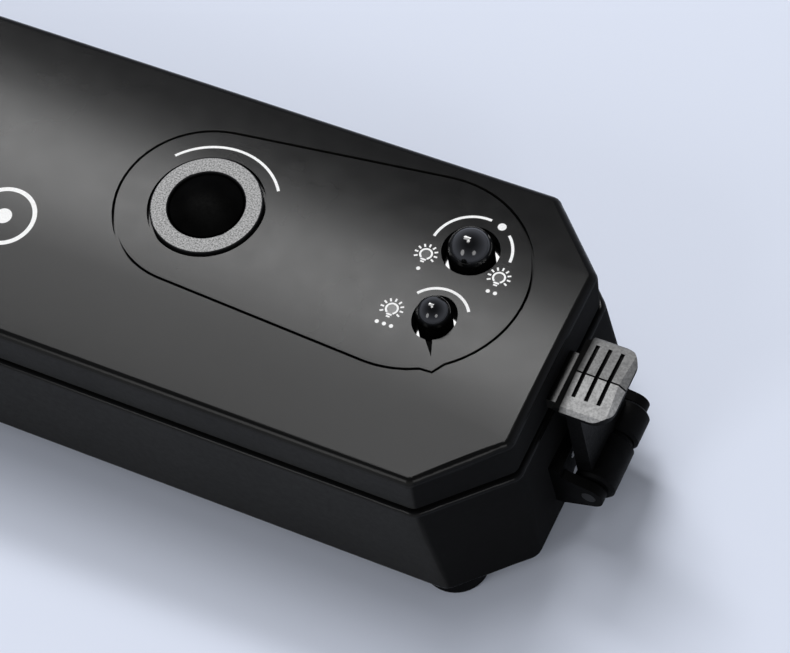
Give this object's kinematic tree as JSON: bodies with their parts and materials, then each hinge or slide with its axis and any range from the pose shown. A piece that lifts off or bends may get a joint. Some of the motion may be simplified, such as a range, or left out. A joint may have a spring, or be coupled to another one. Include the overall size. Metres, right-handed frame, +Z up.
{
  "type": "vacuum sealer",
  "caption": "Slim black vacuum sealer: a hinged lid over a heater and vacuum trough, held by spring latches, with a round release valve and press buttons.",
  "frame": {"origin": "centre of the footprint, on the plane that the feet stand on", "axes": "+X along the length towards the controls, -Y towards the front where the bag goes in, +Z up"},
  "size_m": [0.361, 0.0641, 0.0426],
  "materials": {
    "black_shell": "satin black moulding",
    "black_matte": "fine textured black moulding",
    "black_gloss": "polished black",
    "panel_black": "matt black panel",
    "silver_ring": "speckled silver paint",
    "grey_deck": "matt dark grey moulding",
    "grey_liner": "matt dark grey moulding",
    "black_rubber": "matt rubber",
    "foam_black": "closed cell foam",
    "red_silicone": "silicone rubber",
    "clear_silicone": "milky silicone",
    "steel": "bright steel",
    "black_steel": "black oxide steel",
    "zinc_can": "plated steel",
    "nichrome": "drawn ribbon",
    "brown_tape": "coated glass cloth",
    "phenolic": "laminated board",
    "brass": "turned brass",
    "green_board": "solder mask",
    "component_dark": "moulded housings",
    "transformer_yellow": "taped winding",
    "smoked_lens": "smoked light guide",
    "lamp_white": "white package",
    "lead_red": "insulated wire"
  },
  "bodies": {
    "base": {"base_shell": "black_shell", "work_deck": "grey_deck", "bottom_cover": "black_matte", "rubber_feet": "black_rubber", "cover_screws": "steel", "right_latch_bracket": "black_matte", "left_latch_bracket": "black_matte", "bracket_screws": "steel", "right_latch_pin": "black_steel", "left_latch_pin": "black_steel", "right_latch_spring": "black_steel", "left_latch_spring": "black_steel", "heater_holder": "phenolic", "heating_strip": "nichrome", "heater_tape": "brown_tape", "heater_terminals": "brass", "lower_gasket": "foam_black", "motor_can": "zinc_can", "pump_head": "component_dark", "pump_cap": "component_dark", "pump_screws": "steel", "pump_diaphragm": "black_rubber", "vacuum_hose": "clear_silicone", "trough_port": "component_dark", "power_board": "green_board", "transformer": "transformer_yellow", "board_components": "component_dark", "lid_switch": "component_dark", "cord_grommet": "black_rubber", "hinge_pins": "steel", "motor_leads": "lead_red", "heater_leads": "lead_red"},
    "lid": {"lid_shell": "black_shell", "lid_liner": "grey_liner", "control_panel": "panel_black", "valve_ring": "silver_ring", "valve_spring": "steel", "button_board": "green_board", "tact_switches": "component_dark", "indicator_lamps": "lamp_white", "indicator_lenses": "smoked_lens", "upper_gasket": "foam_black", "pressure_strip": "red_silicone", "liner_screws": "steel"},
    "right_latch": {"right_latch": "black_matte"},
    "left_latch": {"left_latch": "black_matte"},
    "valve": {"valve_button": "black_gloss", "valve_seal": "black_rubber"},
    "vacuum_seal_button": {"vacuum_seal_button": "black_gloss", "vacuum_seal_plunger": "component_dark"},
    "seal_button": {"seal_button": "black_gloss", "seal_plunger": "component_dark"},
    "motor_rotor": {"motor_rotor": "steel"},
    "lid_switch_plunger": {"lid_switch_plunger": "component_dark"}
  },
  "joints": [
    {"name": "lid_hinge", "type": "hinge", "parent": "base", "child": "lid", "pos_m": [0, 0.031, 0.0289], "axis": [-1, 0, 0], "range_deg": [0, 80]},
    {"name": "right_latch_pivot", "type": "hinge", "parent": "base", "child": "right_latch", "pos_m": [0.1768, 0, 0.0142], "axis": [0, 1, 0], "range_deg": [-5, 30], "stiffness_Nm_per_rad": 0.1},
    {"name": "left_latch_pivot", "type": "hinge", "parent": "base", "child": "left_latch", "pos_m": [-0.1768, 0, 0.0142], "axis": [0, -1, 0], "range_deg": [-5, 30], "stiffness_Nm_per_rad": 0.1},
    {"name": "valve_press", "type": "slide", "parent": "lid", "child": "valve", "axis": [0, 0, -1], "range_m": [0, 0.0018], "stiffness_N_per_m": 500, "deforming": ["valve_spring"]},
    {"name": "vacuum_seal_press", "type": "slide", "parent": "lid", "child": "vacuum_seal_button", "axis": [0, 0, -1], "range_m": [0, 0.0007], "stiffness_N_per_m": 800},
    {"name": "seal_press", "type": "slide", "parent": "lid", "child": "seal_button", "axis": [0, 0, -1], "range_m": [0, 0.0007], "stiffness_N_per_m": 800},
    {"name": "pump_spin", "type": "hinge", "parent": "base", "child": "motor_rotor", "pos_m": [-0.018, 0.0203, 0.0146], "axis": [1, 0, 0], "continuous": true},
    {"name": "lid_switch_press", "type": "slide", "parent": "base", "child": "lid_switch_plunger", "axis": [0, 0, -1], "range_m": [0, 0.0006], "stiffness_N_per_m": 400}
  ]
}
